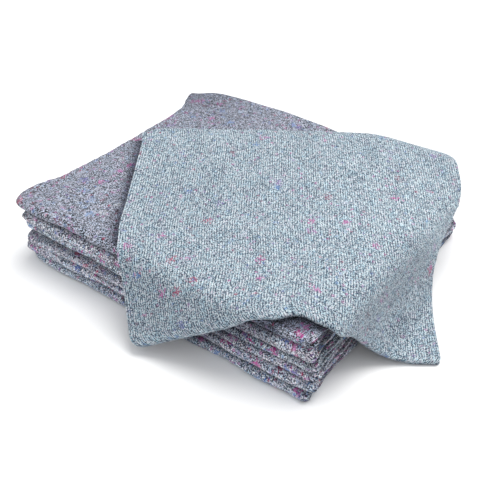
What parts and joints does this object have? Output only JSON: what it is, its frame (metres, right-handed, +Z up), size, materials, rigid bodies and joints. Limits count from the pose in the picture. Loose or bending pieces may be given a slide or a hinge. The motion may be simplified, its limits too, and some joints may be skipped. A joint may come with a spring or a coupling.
{
  "type": "stack of folded moving blankets",
  "caption": "Stack of folded recycled-fibre felt moving blankets with one more laid askew on top, draped over the stack's near, right and far edges.",
  "frame": {"origin": "on the floor, under the middle of the whole object's box", "axes": "+Z up, +X along the folded edges of the stacked blankets, -Y the side that those folded edges face"},
  "size_m": [0.6441, 0.562, 0.1195],
  "materials": {
    "felt_blue_grey": "matte speckled recycled-fibre felt",
    "felt_slate": "matte speckled recycled-fibre felt",
    "felt_mauve": "matte speckled recycled-fibre felt",
    "felt_dusk": "matte speckled recycled-fibre felt",
    "felt_plum": "matte speckled recycled-fibre felt",
    "felt_lilac_grey": "matte speckled recycled-fibre felt",
    "stitched_felt": "matte speckled felt with rows of stitch-bonding thread"
  },
  "bodies": {
    "root": {"folded_blanket_1": "felt_blue_grey", "folded_blanket_2": "felt_slate", "folded_blanket_3": "felt_mauve", "folded_blanket_4": "felt_dusk", "folded_blanket_5": "felt_plum", "folded_blanket_6": "felt_lilac_grey", "draped_blanket": "stitched_felt"}
  },
  "joints": []
}
